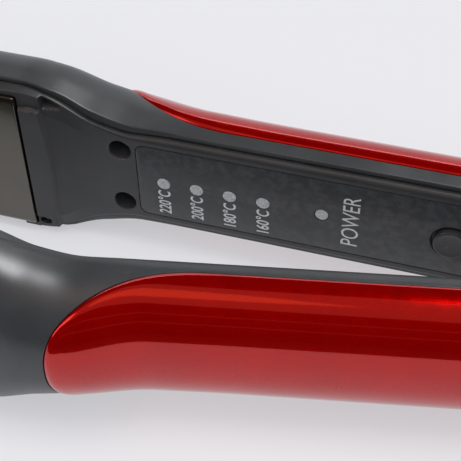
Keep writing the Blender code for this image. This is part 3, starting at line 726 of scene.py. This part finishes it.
def screws(arm, finish):
    """Pan-head screws with a cross recess, deep in the wells."""
    seat = SCREW_SEAT - 0.1
    outline = [(1.1, 6.5), (1.2, 6.2), (1.2, 0.0), (2.05, 0.0), (2.2, -0.15), (2.2, -0.8), (2.0, -1.2),
               (1.5, -1.55), (0.8, -1.75)]
    slot = np.array([(1.1, 0.26), (-1.1, 0.26), (-1.1, -0.26), (1.1, -0.26)])
    for name, side in (("upper", 1), ("lower", -1)):
        centre = np.array([SCREW_REACH, side * SCREW_HEIGHT])
        mesh = arm.turned(centre, [(radius, seat + depth) for radius, depth in outline], 40).mesh("screw")
        for turn in (0.4, 0.4 + math.pi / 2):
            spun = slot @ np.array([(math.cos(turn), math.sin(turn)), (-math.sin(turn), math.cos(turn))])
            rings = [np.insert(centre + spun * scale, 1, seat - depth, axis=1)
                     for depth, scale in ((2.4, 1.15), (0.7, 0.6))]
            mesh = subtract(mesh, Shape().solid(arm.place(rings)).mesh("cross"))
        arm.piece("screw_" + name, mesh, finish, "steel", "cover_screw_" + name)


def heated_plate(arm, finish):
    """The coated plate: a flat face, softly rolled long edges and the two rails behind it."""
    low, high = PLATE_REACHES

    def outline(inset):
        return rounded_outline(low + 0.3 * inset, high - 0.3 * inset, PLATE_HALF_WIDTH - 1.9 * inset, 0.9, 8)

    rolled = quarter(0.0, -PLATE_RISE, -0.7, 0.7, 8, 0.2)
    shape = arm.slab(outline, [(0.0, -0.7), (0.0, 0.7 - PLATE_RISE)] + rolled)
    for heights in ((10.6, 12.4), (-12.4, -10.6)):
        section = [(-0.7, heights[0]), (3.4, heights[0]), (3.4, heights[1]), (-0.7, heights[1])]
        shape.solid(arm.place([[(reach, *spot) for spot in section] for reach in (low + 0.5, high - 0.5)]))
    add_piece(arm.name + "_hot_plate", shape, finish, arm.name + "_plate_unit",
              [arm.name + "_plate"], 40)


def panel_outline(inset):
    """The control panel's outline."""
    low, high = PANEL_REACHES
    return rounded_outline(low + inset, high - inset, PANEL_HALF_WIDTH - inset, PANEL_CORNER - inset, 8)


def control_panel(arm, finish):
    """The thin insert with its softened edge, and holes for the lamps and the button."""
    blank = arm.slab(panel_outline, [(0.14, 1.0), (0.0, 0.86), (0.0, 0.14), (0.04, 0.05), (0.14, 0.0)])
    cutter = Shape()
    for reach in LIGHTS.values():
        hole = [(0.05, 2.0), (0.05, 0.1), (0.15, 0.0), (0.65, -0.5)]
        arm.turned((reach, 0.0), [(LIGHT_RADIUS + wider, depth) for wider, depth in hole], shape=cutter)
    hole = [(0.0, 2.0), (0.0, 0.28), (0.28, 0.0), (0.78, -0.5)]
    arm.turned(BUTTON_SPOT, [(BUTTON_HOLE + wider, depth) for wider, depth in hole], 64, cutter)
    mesh = subtract(blank.mesh("panel_blank", 30), cutter.mesh("panel_cutter"))
    add_piece("panel_plate", mesh, finish, arm.body, ["control_panel"])


def lamps(arm, finish):
    """Frosted lenses, a little domed, each on a stem that reaches the board."""
    for name, reach in LIGHTS.items():
        radius = LIGHT_RADIUS if name != "led_power" else LIGHT_RADIUS - 0.1
        dome = [(radius * math.cos(t), 0.05 - 0.16 * math.sin(t)) for t in np.linspace(0, 1.45, 9)]
        shape = arm.turned((reach, 0.0), [(radius, 6.7), (radius, 0.4)] + dome, 40)
        add_piece(name + "_lens", shape, finish, arm.body, [name], 50)


def button(arm, finish):
    """The round key: a shallow dished top inside a rounded rim."""
    stem = [(1.5, 3.3), (1.5, 2.9), (5.0, 2.9), (5.0, 2.2), (BUTTON_RADIUS, 2.2)]
    rim = quarter(BUTTON_RADIUS, -BUTTON_RISE, 0.35, 0.35, 10)
    dish = [(3.1, 0.0), (2.95, 0.05), (2.2, 0.12), (1.4, 0.19), (0.6, 0.22)]
    shape = arm.turned(BUTTON_SPOT, stem + rim + [(radius, sunk - BUTTON_RISE) for radius, sunk in dish], 64)
    add_piece("round_key", shape, finish, "power_button", ["power_button"], 40)


def lettering(arm, finish):
    """The printed words: temperatures beside their lamps and the word for power, read along the hinge axis."""
    words = [(f"print_{degrees}", f"{degrees}°C", LIGHTS[f"led_{degrees}"], -2.0, 2.75, 6.8, 0.022)
             for degrees in (220, 200, 180, 160)]
    words.append(("print_power", "POWER", 100.7, 6.8, 3.7, 14.2, 0.0))
    outward = Vector(arm.place((0, -1, 0)) - arm.place((0, 0, 0)))
    for name, text, reach, top, size, length, weight in words:
        curve = bpy.data.curves.new(name, "FONT")
        curve.body = text
        curve.size = size / 0.7
        curve.align_x = "RIGHT"
        curve.resolution_u = 6
        curve.offset = weight * size
        draft = add_object(name + "_draft", curve)
        graph = bpy.context.evaluated_depsgraph_get()
        mesh = bpy.data.meshes.new_from_object(draft.evaluated_get(graph))
        bpy.data.objects.remove(draft)
        letters = np.array([v.co for v in mesh.vertices])
        along = (letters[:, 0] - letters[:, 0].max()) * length / np.ptp(letters[:, 0])
        spots = joined(reach - size / 2 + letters[:, 1], -0.03, top + along)
        mesh.vertices.foreach_set("co", arm.place(spots).ravel())
        if mesh.polygons[0].normal.dot(outward) < 0:
            mesh.flip_normals()
        add_piece(name, mesh, finish, arm.body)


# The hinge


def pin_turned(arm, shape, profile, steps=72):
    """Adds a solid turned about the pin, from (radius, height) points."""
    x, y = circle(steps)
    return shape.solid(arm.world([joined(radius * x, radius * y, height) for radius, height in profile]))


def rounded_bar(arm, shape, stations, half_y, half_z, centre_y, power):
    """Adds a bar along x with a rounded rectangle's section, which each (x, scale) station scales."""
    y, z = (np.sign(v) * np.abs(v) ** (2 / power) for v in circle(48))
    return shape.solid(arm.world([joined(place, centre_y + y * half_y * scale, z * half_z * scale)
                                  for place, scale in stations]))


def disc_profile(radius, low, high, bevel=0.5, steps=5):
    """A disc's (radius, height) points with rounded edges."""
    return quarter(radius, low, bevel, bevel, steps)[::-1] + quarter(radius, high, bevel, -bevel, steps)


def hinge_pieces(near, far, finishes):
    """The yoke on the near arm, with its two ears and the tail, the far arm's barrel, and the end caps."""
    yoke, barrel = Shape(), Shape()
    tang = [(-34.0, 0.9), (-33.4, 1.0), (-4.0, 1.0)]
    for arm, shape, half_height in ((near, yoke, 10.0), (far, barrel, 6.6)):
        half = (TANG_DEPTHS[1] - TANG_DEPTHS[0]) / 2
        rounded_bar(arm, shape, tang, half, half_height, arm.side * sum(TANG_DEPTHS) / 2, 8.0)
    inner, outer = EAR_HEIGHTS
    for low, high in ((inner, outer), (-outer, -inner)):
        pin_turned(near, yoke, disc_profile(HUB_RADIUS, low, high))
    tail = [(8, 1.0), (14, 1.0), (20, 0.985), (24.6, 0.95), (25.6, 0.915), (26.05, 0.87), (TAIL_END, 0.8)]
    rounded_bar(near, yoke, tail, TAIL_HALF_WIDTH, TAIL_HALF_HEIGHT, 0.0, 3.6)
    pin_turned(far, barrel, disc_profile(HUB_RADIUS, -BARREL_HALF, BARREL_HALF))
    add_piece("yoke_body", yoke, finishes["dark"], near.body, ["hinge_yoke"], 40)
    add_piece("barrel_body", barrel, finishes["dark"], far.body, ["hinge_barrel"], 40)
    low, high = CAP_HEIGHTS
    cap = [(PIN_RADIUS, PIN_HALF + 0.3), (PIN_RADIUS, low), (HUB_RADIUS - 0.3, low), (HUB_RADIUS, low + 0.3)]
    cap += quarter(HUB_RADIUS, high, 1.0, -1.0, 8)
    groove = [(9.6, 0.0), (9.45, 0.06), (9.3, 0.3), (9.0, 0.3), (8.85, 0.06), (8.7, 0.0)]
    cap += [(radius, high - sunk) for radius, sunk in groove]
    for end, sign in (("upper", 1), ("lower", -1)):
        shape = pin_turned(near, Shape(), [(radius, sign * height) for radius, height in cap], 96)
        node = "hinge_cap_" + end
        add_piece("end_cap_" + end, shape, finishes["gloss"], near.body, [node], 40)


def gland(arm, finish):
    """The swivelling bush in the tail: a ribbed collar with a rounded mouth."""
    profile = [(3.7, 27.6), (3.75, 28.4), (4.1, 28.85), (4.6, 29.0), (5.6, 28.95), (6.2, 28.7), (6.45, 28.3)]
    for x in (28.0, 27.5):
        profile += [(6.6, x), (6.85, x - 0.1), (6.85, x - 0.25), (6.6, x - 0.35)]
    profile += [(6.8, 26.6), (6.7, 26.5), (5.2, 26.5), (5.2, 17.5), (6.9, 17.5), (6.9, 15.5), (3.7, 15.5)]
    y, z = circle(64)
    rings = [joined(x, radius * y, radius * z) for radius, x in profile + profile[:1]]
    shape = Shape().grid(arm.world(rings), closed=True)
    add_piece("tail_bush", shape, finish, "cord_gland", ["cord_gland"], 40)


# Materials


class Finish:
    """A procedural material: nodes are added by name and joined by socket."""

    def __init__(self, name, roughness, metallic=0.0, **settings):
        self.material = bpy.data.materials.new(name + "_finish")
        self.material.use_nodes = True
        self.tree = self.material.node_tree
        self.shader = self.tree.nodes["Principled BSDF"]
        self.set(self.shader, Roughness=roughness, Metallic=metallic, **settings)
        self.where = self.node("TexCoord").outputs["Object"]

    def feed(self, socket, value):
        """Joins a socket to another one, gives it a number, vector or colour, or leaves it for None."""
        if isinstance(value, bpy.types.NodeSocket):
            self.tree.links.new(value, socket)
        elif value is not None:
            socket.default_value = (*value, 1.0) if socket.type == "RGBA" else value

    def set(self, node, **inputs):
        for name, value in inputs.items():
            self.feed(node.inputs[name.replace("_", " ")], value)
        return node

    def node(self, kind, **inputs):
        return self.set(self.tree.nodes.new("ShaderNode" + kind), **inputs)

    def noise(self, size, detail=4.0, roughness=0.55, scale=None):
        """Noise from 0 to 1 whose lumps are about `size` millimetres across, before the axes are scaled."""
        where = self.node("Mapping", Vector=self.where, Scale=scale).outputs["Vector"] if scale else self.where
        made = self.node("TexNoise", Vector=where, Scale=1 / (size * MM), Detail=detail, Roughness=roughness)
        return made.outputs["Fac"]

    def cells(self, size):
        """A Voronoi texture whose cells are about `size` millimetres across."""
        return self.node("TexVoronoi", Vector=self.where, Scale=1 / (size * MM))

    def ranged(self, value, low=0.3, high=0.7, to_low=0.0, to_high=1.0):
        return self.node("MapRange", Value=value, From_Min=low, From_Max=high, To_Min=to_low,
                         To_Max=to_high).outputs["Result"]

    def mixed(self, share, first, second):
        made = self.node("Mix")
        made.data_type = "RGBA"
        for index, value in ((0, share), (6, first), (7, second)):
            self.feed(made.inputs[index], value)
        return made.outputs[2]

    def maths(self, operation, first, second):
        made = self.node("Math")
        made.operation = operation
        self.feed(made.inputs[0], first)
        self.feed(made.inputs[1], second)
        return made.outputs[0]

    def edge_wear_and_highlight(self, base, colour, share, low=0.52, high=0.6):
        """The base colour, paler on sharp outer edges, partly rubbed pale by use and partly a painted edge
        highlight; noise breaks it up.
        """
        # sharp edges: paler colour stands partly for real rubbing, partly for a painted highlight
        edge = self.ranged(self.node("NewGeometry").outputs["Pointiness"], low, high)
        patchy = self.ranged(self.noise(1.8, 3.0), 0.42, 0.62)
        return self.mixed(self.maths("MULTIPLY", self.maths("MULTIPLY", edge, patchy), share), base, colour)

    def done(self, colour, roughness=None, *bumps):
        """The material with its colour, roughness and (height, strength, millimetres) bumps."""
        self.set(self.shader, Base_Color=colour, Roughness=roughness)
        normal = None
        for height, strength, distance in bumps:
            bump = self.node("Bump", Height=height, Strength=strength, Distance=distance * MM)
            self.set(bump, Normal=normal)
            normal = bump.outputs["Normal"]
        self.set(self.shader, Normal=normal)
        return self.material


def moulded(name, dark, light, roughness, grain, strength, wear_and_highlight=0.35, specks=0.0):
    """Moulded or soft-touch plastic: mottled colour, fine grain, paler edges (rubbed by use, and partly a
    painted highlight) and a few specks of dust.
    """
    finish = Finish(name, roughness)
    fine = finish.noise(grain, 3.0, 0.6)
    tint = finish.mixed(finish.ranged(finish.noise(9.0, 5.0)), dark, light)
    tint = finish.mixed(finish.ranged(fine, 0.3, 0.75, 0.0, 0.35), tint, [1.7 * c for c in light])
    # paler edges: partly rubbing, partly a painted highlight along the edges
    tint = finish.edge_wear_and_highlight(tint, [3.2 * c for c in light], wear_and_highlight)
    if specks:
        near = finish.ranged(finish.cells(4.2).outputs["Distance"], 0.018, 0.034, 1.0, 0.0)
        tint = finish.mixed(finish.maths("MULTIPLY", near, specks), tint, (0.35, 0.36, 0.37))
    patches = finish.ranged(finish.noise(14.0), 0.3, 0.7, roughness - 0.05, roughness + 0.06)
    rough = finish.maths("ADD", patches, finish.ranged(fine, 0.3, 0.7, -0.03, 0.03))
    return finish.done(tint, rough, (fine, strength, 0.03), (finish.noise(2.2), 0.12, 0.05))


def lacquer():
    """Candy lacquer: a deep red, half metallic base with fine pearl flakes under a polished clear coat."""
    finish = Finish("red_lacquer", 0.2, Coat_Weight=1.0, Coat_Roughness=0.03, Coat_IOR=1.48,
                    Specular_IOR_Level=0.0)
    glint = finish.ranged(finish.cells(0.09).outputs["Color"], 0.6, 0.95)
    base = finish.mixed(finish.ranged(finish.noise(12.0, 2.0)), (0.40, 0.0007, 0.0005), (0.45, 0.0012, 0.0007))
    base = finish.mixed(finish.maths("MULTIPLY", glint, 0.25), base, (0.62, 0.006, 0.001))
    # brighter red on the sharp edges: partly rubbing, partly a painted edge highlight
    base = finish.edge_wear_and_highlight(base, (0.62, 0.05, 0.04), 0.2, 0.54, 0.64)
    finish.set(finish.shader, Metallic=finish.ranged(glint, 0.0, 1.0, 0.56, 0.72))
    rough = finish.ranged(finish.noise(3.0, 3.0), 0.3, 0.7, 0.14, 0.2)
    return finish.done(base, rough, (finish.noise(2.5, 1.0), 0.02, 0.02))


def coating():
    """The plate's tinted mirror coating: fine drawn streaks along the plate and patchy haze."""
    finish = Finish("plate_coating", 0.1, 0.92, Coat_Weight=0.25, Coat_Roughness=0.06)
    streak = finish.noise(0.5, 5.0, 0.6, (0.02, 1.0, 1.0))
    haze = finish.noise(16.0)
    base = finish.mixed(finish.ranged(haze), (0.10, 0.094, 0.08), (0.12, 0.112, 0.098))
    base = finish.mixed(finish.ranged(streak, 0.35, 0.7, 0.0, 0.3), base, (0.15, 0.14, 0.122))
    hazy = finish.ranged(haze, 0.3, 0.7, 0.07, 0.14)
    rough = finish.maths("ADD", hazy, finish.ranged(streak, 0.3, 0.7, 0.0, 0.06))
    return finish.done(base, rough, (streak, 0.05, 0.02), (finish.noise(0.25, 2.0), 0.04, 0.01))


def gloss_black():
    """Polished black plastic with hairline scuffs."""
    finish = Finish("gloss_black", 0.16, Coat_Weight=0.5, Coat_Roughness=0.05)
    scuffs = finish.noise(0.35, 6.0, 0.6, (0.05, 1.0, 0.4))
    base = finish.mixed(finish.ranged(finish.noise(6.0)), (0.012, 0.012, 0.014), (0.02, 0.02, 0.023))
    # paler sharp edges: partly rubbing, partly a painted edge highlight
    base = finish.edge_wear_and_highlight(base, (0.09, 0.09, 0.1), 0.5)
    return finish.done(base, finish.ranged(scuffs, 0.3, 0.7, 0.12, 0.3), (scuffs, 0.05, 0.02))


def metal(name, dark, light, roughness):
    """Drawn metal, with streaks along the arm."""
    finish = Finish(name, roughness, 1.0)
    drawn = finish.noise(0.3, 6.0, 0.6, (0.05, 1.0, 1.0))
    rough = finish.ranged(finish.noise(1.2), 0.3, 0.7, roughness - 0.06, roughness + 0.1)
    return finish.done(finish.mixed(finish.ranged(drawn), dark, light), rough, (drawn, 0.1, 0.02))


def plain(name, dark, light, roughness, grain):
    """A dull solid such as ceramic, rubber or laminate: two mixed tones over a grain."""
    finish = Finish(name, roughness)
    fine = finish.noise(grain, 5.0, 0.6)
    rough = finish.ranged(finish.noise(4 * grain), 0.3, 0.7, roughness - 0.08, roughness + 0.08)
    return finish.done(finish.mixed(finish.ranged(fine), dark, light), rough, (fine, 0.2, 0.03))


def lens():
    """Frosted lamp lens: milky, mottled, with a fine ground surface."""
    finish = Finish("lamp_lens", 0.45, Subsurface_Weight=0.15, Subsurface_Scale=0.0008)
    mottle = finish.noise(0.45, 4.0, 0.6)
    milky = finish.mixed(finish.ranged(mottle, 0.35, 0.65), (0.33, 0.34, 0.35), (0.60, 0.61, 0.62))
    return finish.done(milky, finish.ranged(mottle, 0.3, 0.7, 0.38, 0.55), (finish.noise(0.2, 3.0), 0.3, 0.03))


def ink():
    """Pale printed ink, a little patchy."""
    finish = Finish("print_ink", 0.5)
    patch = finish.noise(0.3, 5.0, 0.6)
    pale = finish.mixed(finish.ranged(patch), (0.55, 0.56, 0.57), (0.72, 0.73, 0.74))
    return finish.done(pale, finish.ranged(patch, 0.3, 0.7, 0.45, 0.6), (patch, 0.1, 0.01))


def make_finishes():
    return {
        "dark": moulded("dark_soft", (0.025, 0.0275, 0.0298), (0.039, 0.042, 0.0455), 0.35, 0.16, 0.22,
                        0.3, 0.25),
        "inner": moulded("inner_plastic", (0.022, 0.0235, 0.0255), (0.033, 0.0345, 0.0365), 0.42, 0.2,
                         0.2, 0.4, 0.3),
        "panel": moulded("panel_plastic", (0.023, 0.0245, 0.027), (0.031, 0.033, 0.036), 0.4, 0.12, 0.14,
                         0.3, 0.45),
        # the key's larger pale-edge share paints a highlight on its rim ring, besides rubbing
        "button": moulded("button_plastic", (0.022, 0.023, 0.026), (0.034, 0.035, 0.038), 0.3, 0.12,
                          0.08, 0.5, 0.3),
        "switch": moulded("switch_plastic", (0.012, 0.012, 0.013), (0.022, 0.022, 0.023), 0.5, 0.2, 0.2),
        "gloss": gloss_black(),
        "red": lacquer(),
        "plate": coating(),
        "steel": metal("steel", (0.3, 0.3, 0.31), (0.5, 0.5, 0.5), 0.32),
        "ceramic": plain("ceramic", (0.62, 0.61, 0.57), (0.78, 0.77, 0.73), 0.6, 0.3),
        "silicone": plain("silicone", (0.42, 0.08, 0.05), (0.58, 0.13, 0.08), 0.6, 0.4),
        "mica": plain("mica", (0.36, 0.31, 0.2), (0.58, 0.52, 0.38), 0.45, 1.2),
        "board": plain("board_laminate", (0.012, 0.11, 0.04), (0.02, 0.19, 0.07), 0.4, 0.6),
        "wire": plain("wire_sleeve", (0.6, 0.58, 0.52), (0.76, 0.74, 0.68), 0.65, 0.25),
        "lens": lens(),
        "ink": ink(),
    }


def dress_cad_nodes(nodes, finishes):
    """Gives every CAD node that still shows its finish, and softens its machined edges."""
    kinds = {"heater_lead": "wire", "heater_clamp": "steel", "heater": "ceramic", "cushion": "silicone",
             "shield": "mica", "circuit_board": "board", "button_switch": "switch", "thermal_fuse": "steel",
             "thermistor": "ceramic", "hinge_pin": "steel", "hinge_spring": "steel"}
    for name, obj in nodes.items():
        if obj.hide_render:
            continue
        obj.data.materials.clear()
        obj.data.materials.append(finishes[next(kind for part, kind in kinds.items() if part in name)])
        if "lead" not in name and "spring" not in name:
            soften = obj.modifiers.new("soften", "BEVEL")
            soften.width = 0.25 * MM
            soften.segments = 2
            soften.limit_method = "ANGLE"


# Floor, light and camera


def studio(hinge):
    """A pale floor, faintly lit from within, that curves up into a low backdrop behind the iron."""
    turns = np.linspace(0, math.pi / 2, 16)
    section = [(-7.0, 0.0), (-3.0, 0.0), (-1.0, 0.0), (0.3, 0.0)]
    section += [(0.9 + 0.25 * math.sin(t), 0.25 * (1 - math.cos(t))) for t in turns]
    section += [(1.15, 0.4), (1.15, 0.66)]
    rows = np.array([[(hinge.x - 0.12 + x, y, z) for y, z in section] for x in (-7.0, -2.0, 0.0, 2.0, 7.0)])
    mesh = Shape().grid(rows).mesh("studio_floor", 60)
    pale = (0.38, 0.381, 0.395)
    finish = Finish("pale_floor", 0.55, Emission_Color=pale, Emission_Strength=1.22,
                    Specular_IOR_Level=0.0)
    cloud = finish.ranged(finish.noise(300.0, 2.0))
    mesh.materials.append(finish.done(finish.mixed(cloud, [0.985 * c for c in pale], pale)))
    floor = add_object("studio_floor", mesh)


def front_flag(centre):
    """A black card in front of the iron that only reflections see, like a dark room past a sheet's edge."""
    x, y = centre.x, centre.y - FLAG_DISTANCE
    rows = np.array([[(x + across, y - back, 0.0008) for back in (0.0, 6.0)] for across in (-6.0, 0.0, 6.0)])
    mesh = Shape().grid(rows).mesh("front_flag")
    finish = Finish("black_card", 0.9)
    mesh.materials.append(finish.done(finish.mixed(finish.noise(40.0, 2.0), (0.001,) * 3, (0.003,) * 3)))
    flag = add_object("front_flag", mesh)
    flag.visible_camera = flag.visible_diffuse = flag.visible_shadow = flag.visible_transmission = False


def area_light(name, centre, elevation, azimuth, distance, size, radiance, colour, kinds="g"):
    """A light at a compass place round the centre. kinds: d lights dull surfaces, g shiny ones."""
    up, turn = math.radians(elevation), math.radians(azimuth)
    away = Vector((math.sin(turn) * math.cos(up), math.cos(turn) * math.cos(up), math.sin(up)))
    data = bpy.data.lights.new(name, "AREA")
    data.shape = "RECTANGLE"
    data.size, data.size_y = size
    data.energy = radiance * math.pi * size[0] * size[1]
    data.color = colour
    light = add_object(name, data)
    light.location = centre + away * distance
    light.rotation_mode = "QUATERNION"
    light.rotation_quaternion = (-away).to_track_quat("-Z", "Y")
    light.visible_camera = False
    light.visible_diffuse = "d" in kinds
    light.visible_glossy = "g" in kinds


def lighting(centre):
    """Even light for the dull surfaces, and the few lights that shiny surfaces mirror in a dark room."""
    world = bpy.data.worlds.new("studio_world")
    world.use_nodes = True
    sky = world.node_tree.nodes["Background"].inputs
    sky["Color"].default_value = (0.97, 0.975, 1.0, 1.0)
    sky["Strength"].default_value = 0.3
    world.cycles_visibility.glossy = False
    bpy.context.scene.world = world
    area_light("overhead", centre, 85, 180, 1.7, (1.0, 0.8), 5.6, (1.0, 1.0, 0.99), "d")
    area_light("front_fill", centre, 50, 186, 1.5, (1.8, 1.2), 1.3, (1.0, 0.99, 1.0), "d")
    area_light("window", centre, 59, 52, 1.5, (0.58, 0.62), 21.0, (0.97, 0.98, 1.0))
    area_light("rear_strip", centre, 31, -4, 1.2, (1.8, 0.06), 3.0, (1.0, 1.0, 1.0))
    area_light("left_box", centre, 36, 252, 1.2, (0.42, 0.9), 3.0, (1.0, 0.45, 0.36))
    area_light("warm_panel", centre, 80, 235, 1.5, (0.45, 0.5), 0.7, (1.0, 0.44, 0.15))
    area_light("ceiling", centre, 84, 180, 1.7, (2.4, 1.5), 0.36, (1.0, 0.55, 0.42))
    for name, elevation in (("warm_strip_upper", 39), ("warm_strip_lower", 21)):
        area_light(name, centre, elevation, 178, 1.4, (1.0, 0.035), 0.35, (1.0, 0.36, 0.26))


def camera(hinge):
    """The camera, turned about the vertical, pitched down and rolled a little."""
    data = bpy.data.cameras.new("camera")
    data.lens = CAMERA_LENS
    data.sensor_width = 36.0
    data.clip_start, data.clip_end = 0.01, 20.0
    obj = add_object("camera", data)
    place = Matrix.Translation(Vector((hinge.x, hinge.y, 0.0)) + CAMERA_OFFSET * MM)
    turn = Matrix.Rotation(CAMERA_TURN, 4, "Z") @ Matrix.Rotation(math.pi / 2 - CAMERA_PITCH, 4, "X")
    obj.matrix_world = place @ turn @ Matrix.Rotation(CAMERA_ROLL, 4, "Z")
    bpy.context.scene.camera = obj


def main():
    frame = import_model()
    cad_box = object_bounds()
    joint = next(j for j in frame["joints"] if j["name"] == "arm_hinge")
    hinge = Vector(joint["pos_m"])
    opening = math.radians(joint["range_deg"][1])
    camera(hinge)
    bpy.context.scene.view_settings.view_transform = "Standard"
    finishes = make_finishes()
    near, far = Arm("near", -1, hinge, opening), Arm("far", 1, hinge, opening)
    for arm in (near, far):
        outer_shell(arm, finishes["dark"])
        red_cover(arm, finishes["red"])
        inner_cover(arm, finishes["inner"])
        well_linings(arm, finishes["inner"])
        screws(arm, finishes["steel"])
        heated_plate(arm, finishes["plate"])
    control_panel(far, finishes["panel"])
    lamps(far, finishes["lens"])
    button(far, finishes["button"])
    lettering(far, finishes["ink"])
    hinge_pieces(near, far, finishes)
    gland(near, finishes["gloss"])
    dress_cad_nodes(frame["nodes"], finishes)
    centre = (cad_box[0] + cad_box[1]) / 2
    studio(hinge)
    front_flag(centre)
    lighting(centre)


main()
